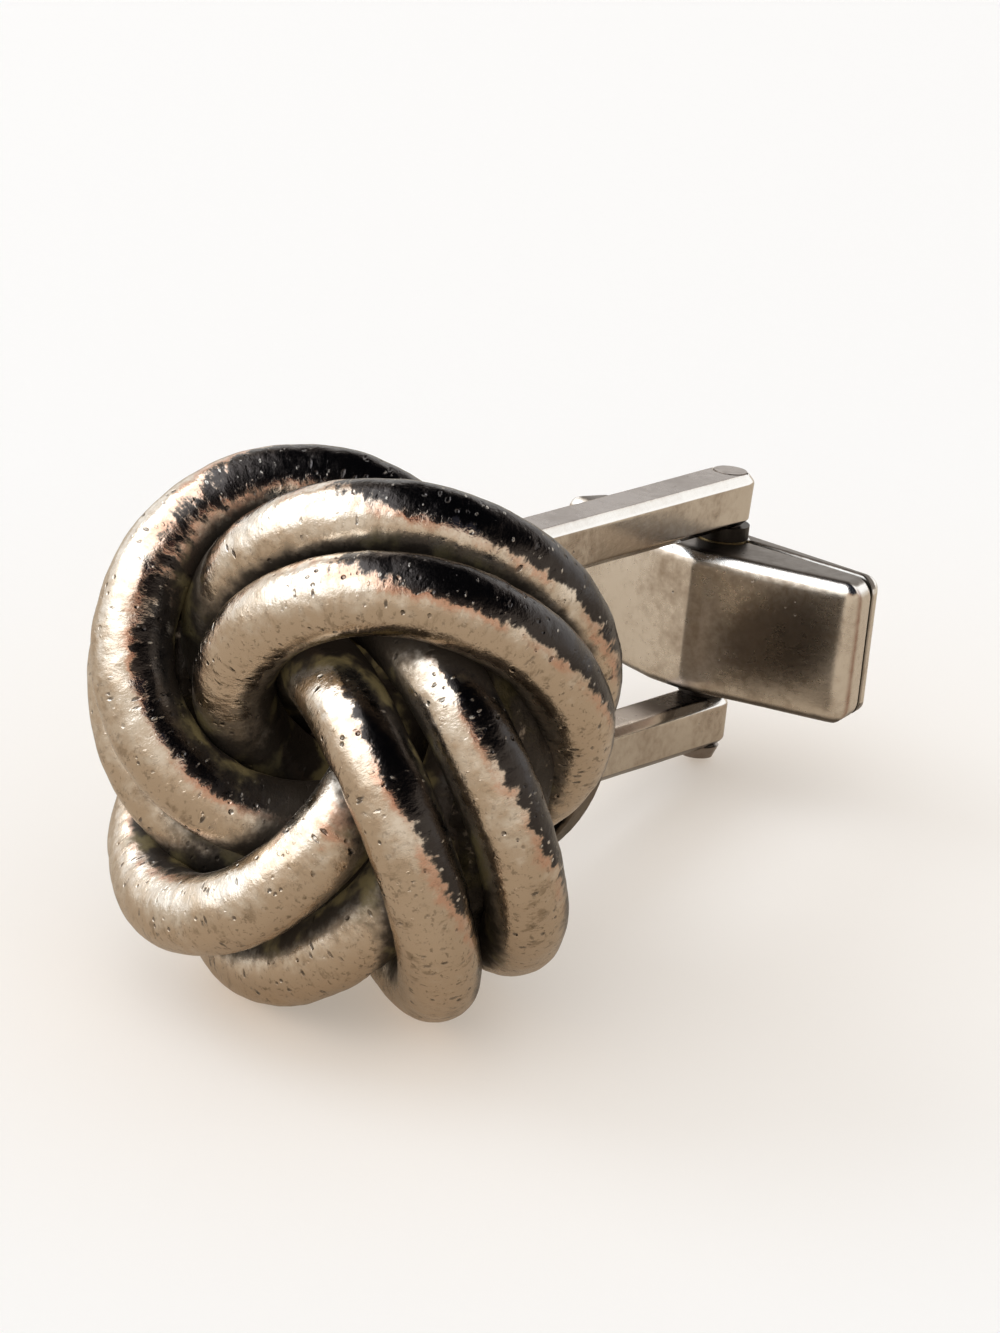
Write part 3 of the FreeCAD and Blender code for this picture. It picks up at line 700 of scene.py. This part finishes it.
# %% [markdown]
# ## Soft edges on the closure
#
# Pressed and polished metal has no sharp edge anywhere, and the bright lines along the arms and the toggle
# are reflections in those soft edges. A copy of each solid is cut into fine even squares with a voxel
# remesh and then relaxed, which rounds every edge a little and leaves the flats alone. The bevel tool
# would need clean edge loops, which a solid's triangles don't have. The grid of the squares is straight,
# so the copy is first laid on a bench along it, with the pin upright, and an edge that runs along the grid
# has no steps. The bench is in millimetres, because a voxel may not be smaller than a tenth of a millimetre
# in metres.

# %% Relaxed copies on the bench
RELAX = 0.5

joint = frame["record"]["behaviour"]["joints"][0]
pin_place = Vector(joint["pos_m"])
pin_way = Vector(joint["axis"]).normalized()
across_way = Vector((1.0, 0.0, 0.0))
post_way = pin_way.cross(across_way)
bench = Matrix((across_way, post_way, pin_way)).to_4x4() @ Matrix.Translation(-pin_place)
bench = Matrix.Scale(1.0 / MM, 4) @ bench
bench_turn = bench.to_3x3().normalized()


def relaxed(node, grain, rounds):
    """A copy of a solid on the bench, in squares of one grain, relaxed a number of rounds."""
    mesh = frame["nodes"][node].data.copy()
    mesh.transform(bench)
    work = bpy.data.objects.new("work", mesh)
    bpy.context.scene.collection.objects.link(work)
    squares = work.modifiers.new("squares", "REMESH")
    squares.mode = "VOXEL"
    squares.voxel_size = grain
    relax = work.modifiers.new("relax", "SMOOTH")
    relax.factor = RELAX
    relax.iterations = rounds
    bpy.context.view_layer.update()
    soft = bpy.data.meshes.new_from_object(work.evaluated_get(bpy.context.evaluated_depsgraph_get()))
    bpy.data.objects.remove(work)
    bpy.data.meshes.remove(mesh)
    return soft


print("the pin is at mm:", [round(c / MM, 2) for c in pin_place])

# %% [markdown]
# ## Small forms of the closure
#
# Four small forms are added on the bench by moving points. The end of the upper arm is filed back below.
# The corners of the toggle's ends are rounded, and a groove runs along the seam between its two shells.
# Its front is a little pillowed, as thin pressed silver always is: a flat face would mirror one spot of the
# room as one flat colour. The seam and the ends are found on the solid of the back shell.

# %% Forms that move points
# Each form takes points and normals on the bench and gives the moved points. Sizes are in millimetres,
# and the outward values are the part of a normal that points to the front.
UNDERCUT = 0.28
PILLOW = 0.13
PILLOW_HEIGHT = 1.75
PILLOW_MIDDLE = 3.1
PILLOW_LENGTH = 2.3
PILLOW_OUTWARD = 0.60
PILLOW_FULL_OUTWARD = 0.85
CORNER = 0.64
GROOVE = 0.07
GROOVE_WIDTH = 0.14
END_FOCUS = 9


def toggle_ends():
    """The directions of the toggle's two ends. The high odd power picks faces square to X."""
    faces = frame["nodes"]["toggle_back_shell"].data.polygons
    by_lean = sorted(faces, key=lambda face: face.area * face.normal.x ** END_FOCUS)
    return [np.array(bench_turn @ face.normal) for face in (by_lean[0], by_lean[-1])]


end_ways = toggle_ends()


def seam_height(points):
    """How far each point of the toggle lies in front of the seam between its shells."""
    faces = frame["nodes"]["toggle_back_shell"].data.polygons
    height = np.zeros(len(points))
    for side in (-1.0, 1.0):
        own = [face for face in faces if face.center.x * side > 0.0]
        seam = max(own, key=lambda face: face.area * -(bench_turn @ face.normal).y)
        above = (points - np.array(bench @ seam.center)) @ np.array(bench_turn @ seam.normal)
        height = np.where(points[:, 0] * side > 0.0, above, height)
    return height


def filed_end(points, normals):
    low, high = points[:, 2].min(), points[:, 2].max()
    past = np.clip(points[:, 1] / points[:, 1].max(), 0.0, 1.0)
    moved = points.copy()
    moved[:, 1] -= UNDERCUT * past * (high - points[:, 2]) / (high - low)
    return moved


def dome(values):
    """1 in the middle and 0 from a distance of 1 on."""
    return np.clip(1.0 - values ** 2, 0.0, 1.0)


def pillowed(points, normals):
    along = (np.abs(points[:, 0]) - PILLOW_MIDDLE) / PILLOW_LENGTH
    rise = points[:, 2] / PILLOW_HEIGHT
    outward = ramp(-normals[:, 1], PILLOW_OUTWARD, PILLOW_FULL_OUTWARD)
    bulge = PILLOW * dome(along) * dome(rise) * outward
    return points + normals * bulge[:, None]


def round_corners(points):
    moved = points.copy()
    top = np.abs(points[:, 2]).max()
    for way in end_ways:
        reach = points @ way
        inward = np.clip(CORNER - (reach.max() - reach), 0.0, CORNER)
        most = top - CORNER + np.sqrt(CORNER ** 2 - inward ** 2)
        moved[:, 2] = np.clip(moved[:, 2], -most, most)
    return moved


def grooved(points, normals):
    near = ramp(np.abs(seam_height(points)), GROOVE_WIDTH, 0.0)
    return points - normals * (GROOVE * near)[:, None]


def front_form(points, normals):
    return grooved(round_corners(pillowed(points, normals)), normals)


def back_form(points, normals):
    return grooved(round_corners(points), normals)


print("the toggle's ends face:", [way.round(3).tolist() for way in end_ways])

# %% [markdown]
# ## Marks on the toggle
#
# Dirt sits in the seam, and a painted rosy reflection runs as a line beside it on the toggle's ends. The
# right face has a dark painted reflection shaped like a smoky stain, which slopes a little. A mark like this
# could be drawn with texture coordinates in the material, but then each finish of the closure would carry it,
# so it is painted on the mesh like the other marks.

# %% Masks for the toggle
# Sizes are in millimetres. The outward values are the part of a normal that points to an end or the front.
SEAM_WIDTH = 0.144
SEAM_CORE = 0.054
# Where the painted rosy reflection runs beside the seam.
ROSY_REFLECTION_PLACE = 0.84
ROSY_REFLECTION_WIDTH = 0.14
ROSY_REFLECTION_OUTWARD = 0.4
ROSY_REFLECTION_FULL_OUTWARD = 0.7
# Where the dark painted reflection lies on the right face.
FACE_REFLECTION_MIDDLE = 3.2
FACE_REFLECTION_LENGTH = 2.3
FACE_REFLECTION_HEIGHT = 1.9
FACE_REFLECTION_SLOPE = 0.5
FACE_REFLECTION_DEPTH = 1.1
FACE_REFLECTION_OUTWARD = 0.85
FACE_REFLECTION_FULL_OUTWARD = 0.95


def paint_toggle(mesh, points, normals):
    height = seam_height(points)
    paint(mesh, "seam", ramp(np.abs(height), SEAM_WIDTH, SEAM_CORE))
    ends = np.max([normals @ way for way in end_ways], axis=0)
    # A painted rosy reflection beside the seam on the ends.
    beside = ramp(np.abs(height - ROSY_REFLECTION_PLACE), ROSY_REFLECTION_WIDTH, 0.0)
    paint(mesh, "rosy_reflection", beside * ramp(ends, ROSY_REFLECTION_OUTWARD, ROSY_REFLECTION_FULL_OUTWARD))
    # A dark painted reflection on the right face, sloping a little.
    along = (points[:, 0] - FACE_REFLECTION_MIDDLE) / FACE_REFLECTION_LENGTH
    rise = (points[:, 2] - FACE_REFLECTION_SLOPE * along) / FACE_REFLECTION_HEIGHT
    inside = np.clip(FACE_REFLECTION_DEPTH - along ** 2 - rise ** 2, 0.0, 1.0)
    paint(mesh, "face_dark_reflection", inside * ramp(-normals[:, 1], FACE_REFLECTION_OUTWARD, FACE_REFLECTION_FULL_OUTWARD))


print("masks of the toggle: seam, blush and smoke")

# %% [markdown]
# ## Building the worn closure
#
# Each copy is relaxed, made a little wavy and given its form on the bench. Then it goes back to its place
# and is painted. The toggle is relaxed most, because pressed shells have rounder edges than filed arms.

# %% Make the worn copies
WAVE = 0.012
WAVE_SCALE = 0.55


def make_soft(node, body, grain, rounds, form=None):
    mesh = relaxed(node, grain, rounds)
    mesh.name = node + "_worn"
    points = np.empty(len(mesh.vertices) * 3)
    normals = np.empty(len(mesh.vertices) * 3)
    mesh.vertices.foreach_get("co", points)
    mesh.vertex_normals.foreach_get("vector", normals)
    points, normals = points.reshape(-1, 3), normals.reshape(-1, 3)
    wave = np.array([noise.noise(Vector(p) * WAVE_SCALE) - 1.0 for p in points]) * WAVE
    points = points + normals * wave[:, None]
    if form:
        points = form(points, normals)
    mesh.vertices.foreach_set("co", points.reshape(-1))
    mesh.transform(bench.inverted())
    mesh.shade_smooth()
    paint(mesh, "up", normals[:, 2])
    if body == "toggle":
        paint_toggle(mesh, points, normals)
    mesh.materials.clear()
    mesh.materials.append(finish_of[node])
    piece = show(mesh)
    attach(piece, body)
    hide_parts(node)
    return piece


soft_pieces = [
    make_soft("fork_base", "head", grain=0.06, rounds=5),
    make_soft("upper_arm", "head", grain=0.05, rounds=4, form=filed_end),
    make_soft("lower_arm", "head", grain=0.05, rounds=4),
    make_soft("toggle_front_shell", "toggle", grain=0.06, rounds=14, form=front_form),
    make_soft("toggle_back_shell", "toggle", grain=0.06, rounds=8, form=back_form),
]
print({piece.name: len(piece.data.vertices) for piece in soft_pieces})

# %% [markdown]
# ## The table
#
# The table is a plain white disc, so wide that its rim stays out of sight. Close to the cufflink it is
# painted a little warmer, a painted tint for its warm shadow and the warm light the metal throws there. A
# floor of white alone would fill the silver with white, so what the metal mirrors, and what the table throws
# back on it, is a darker and warmer tone. Light Path tells these rays from the camera's own.

# %% Make the table
TABLE_REACH = 3.0
TABLE_SIDES = 96
TABLE_WHITE = (0.96, 0.95, 0.935)
# A painted warm tint near the cufflink, for its warm shadow and the light the metal throws.
TABLE_PAINTED_WARMTH = (0.965, 0.925, 0.875)
TABLE_TONE = (0.57, 0.49, 0.395)
TOOTH_SHADE = 0.985
WARM_REACH = 34.0
WARM_CORE = 8.0


def table_finish():
    material, tree, place = start_finish("table_white")
    tooth = cloud(tree, place, 3.0, 3.0)
    seen = Signal.node(tree, "ShaderNodeLightPath", {}, {}, "Is Camera Ray")
    away = Signal.node(tree, "ShaderNodeVectorMath", {"operation": "LENGTH"}, {"Vector": place}, "Value")
    paper = (tooth * 0.5).blend(TABLE_WHITE, tuple(c * TOOTH_SHADE for c in TABLE_WHITE))
    # The painted warm tint for the shadow near the cufflink.
    paper = away.between(WARM_REACH, WARM_CORE).blend(paper, TABLE_PAINTED_WARMTH)
    end_finish(tree, seen.blend(TABLE_TONE, paper), 0.75, 0.0, tooth * 0.004, {"Specular IOR Level": 0.2})
    return material


def make_table():
    outline = bmesh.new()
    bmesh.ops.create_circle(outline, cap_ends=True, segments=TABLE_SIDES, radius=TABLE_REACH)
    mesh = bpy.data.meshes.new("table")
    outline.to_mesh(mesh)
    outline.free()
    mesh.materials.append(table_finish())
    table = show(mesh)
    table.location.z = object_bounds()[0][2]
    table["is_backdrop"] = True
    return table


table = make_table()
print("table reach in m:", TABLE_REACH, "level in mm:", round(table.location.z / MM, 3))

# %% [markdown]
# ## The camera
#
# The camera looks down on the knot from the front right. It stands well back with a long lens, as for any
# small still life, so the near strands don't swell. Its three directions are kept, because the light is
# placed from them.

# %% Place the camera
VIEW_AZIMUTH = math.radians(35.0)
VIEW_HEIGHT = math.radians(25.0)
VIEW_DISTANCE = 220 * MM
SENSOR = 24.0
LENS = 144.0
CLIP_NEAR = 0.005
CLIP_FAR = 20.0
AIM = Vector((0.0, 0.0, 6.6 * MM))

view_back = Vector((math.sin(VIEW_AZIMUTH) * math.cos(VIEW_HEIGHT),
                    -math.cos(VIEW_AZIMUTH) * math.cos(VIEW_HEIGHT), math.sin(VIEW_HEIGHT)))
view_right = Vector((math.cos(VIEW_AZIMUTH), math.sin(VIEW_AZIMUTH), 0.0))
view_up = view_back.cross(view_right)
camera = show(bpy.data.cameras.new("camera"))
camera.data.sensor_fit = "VERTICAL"
camera.data.sensor_height = SENSOR
camera.data.lens = LENS
camera.data.clip_start = CLIP_NEAR
camera.data.clip_end = CLIP_FAR
turned = Matrix((view_right, view_up, view_back)).transposed().to_4x4()
camera.matrix_world = Matrix.Translation(AIM + view_back * VIEW_DISTANCE) @ turned
bpy.context.scene.camera = camera
bpy.context.scene.view_settings.view_transform = "Standard"
print("camera at mm:", [round(c / MM, 1) for c in camera.matrix_world.translation])

# %% [markdown]
# ## The light
#
# The room gives an even light to everything that is dull. What metal mirrors is drawn apart: a window on
# the upper left, a bright wall behind the cufflink, and a dark part above and to the right with a rosy rim,
# as a black card hung over a small still life. Bright wire needs that: without something dark to mirror,
# silver looks like grey paper. Two lamps add to the room. A cool soft one on the left shapes the knot, and
# a warm one from above throws no shadow, so the shadows of the first stay light and warm.

# %% The room
ROOM_LIGHT = (0.58, 0.605, 0.635)
ROOM_FRONT = (0.74, 0.645, 0.54)
ROOM_BEHIND = (1.05, 1.03, 1.0)
ROOM_WINDOW = (2.2, 2.22, 2.22)
ROOM_ROSE = (0.62, 0.36, 0.27)
ROOM_DARK = (0.012, 0.012, 0.018)
WINDOW_UP = 0.72
WINDOW_LEFT = 0.52
WINDOW_NEAR = 0.36

world = bpy.data.worlds.new("room")
bpy.context.scene.world = world
world.use_nodes = True
world.node_tree.nodes.clear()
room = world.node_tree
way = Signal.node(room, "ShaderNodeTexCoord", {}, {}, "Generated")


def toward(direction):
    """How far a ray points in a direction, from -1 to 1."""
    return Signal.node(room, "ShaderNodeVectorMath", {"operation": "DOT_PRODUCT"},
                       {"Vector": way, "Vector_001": tuple(direction)}, "Value")


window_way = (view_up * WINDOW_UP - view_right * WINDOW_LEFT + view_back * WINDOW_NEAR).normalized()
rightward = toward(view_right)
upward = toward((0.0, 0.0, 1.0))
lean = toward(view_up) + rightward * 0.5
window = toward(window_way).between(0.60, 0.90)
behind = toward(view_back).between(0.15, -0.25) * upward.between(0.50, 0.30)
right_part = rightward.between(-0.20, -0.06) * upward.between(0.42, 0.54)
mirrored = behind.blend(ROOM_FRONT, ROOM_BEHIND)
mirrored = window.blend(mirrored, ROOM_WINDOW)
mirrored = (right_part * lean.between(0.06, 0.20)).blend(mirrored, ROOM_ROSE)
mirrored = (right_part * lean.between(0.20, 0.32)).blend(mirrored, ROOM_DARK)
by_metal = Signal.node(room, "ShaderNodeLightPath", {}, {}, "Is Glossy Ray")
colour = by_metal.blend(ROOM_LIGHT, mirrored)
light = Signal.node(room, "ShaderNodeBackground", {}, {"Color": colour, "Strength": 1.0})
Signal.node(room, "ShaderNodeOutputWorld", {}, {"Surface": light})
print("the room is dark above and to the right, with a window on the left")

# %% The lamps
KEY_UP = 0.85
KEY_LEFT = 0.75
KEY_FAR = 0.10
KEY_DISTANCE = 0.5
KEY_WIDTH = 0.26
KEY_HEIGHT = 0.182
KEY_POWER = 0.32
KEY_COLOUR = (0.86, 0.97, 1.12)
FILL_STRENGTH = 1.18
FILL_COLOUR = (1.0, 0.90, 0.79)

key_way = view_up * KEY_UP - view_right * KEY_LEFT - view_back * KEY_FAR
key_lamp = show(bpy.data.lights.new("key_lamp", "AREA"))
key_lamp.data.shape = "RECTANGLE"
key_lamp.data.size = KEY_WIDTH
key_lamp.data.size_y = KEY_HEIGHT
key_lamp.data.energy = KEY_POWER
key_lamp.data.color = KEY_COLOUR
key_lamp.location = AIM + key_way.normalized() * KEY_DISTANCE
key_lamp.rotation_euler = key_way.to_track_quat("Z", "Y").to_euler()

fill_lamp = show(bpy.data.lights.new("fill_lamp", "SUN"))
fill_lamp.data.energy = FILL_STRENGTH
fill_lamp.data.color = FILL_COLOUR
fill_lamp.data.use_shadow = False
fill_lamp.visible_glossy = False
print("key lamp at mm:", [round(c / MM) for c in key_lamp.location])
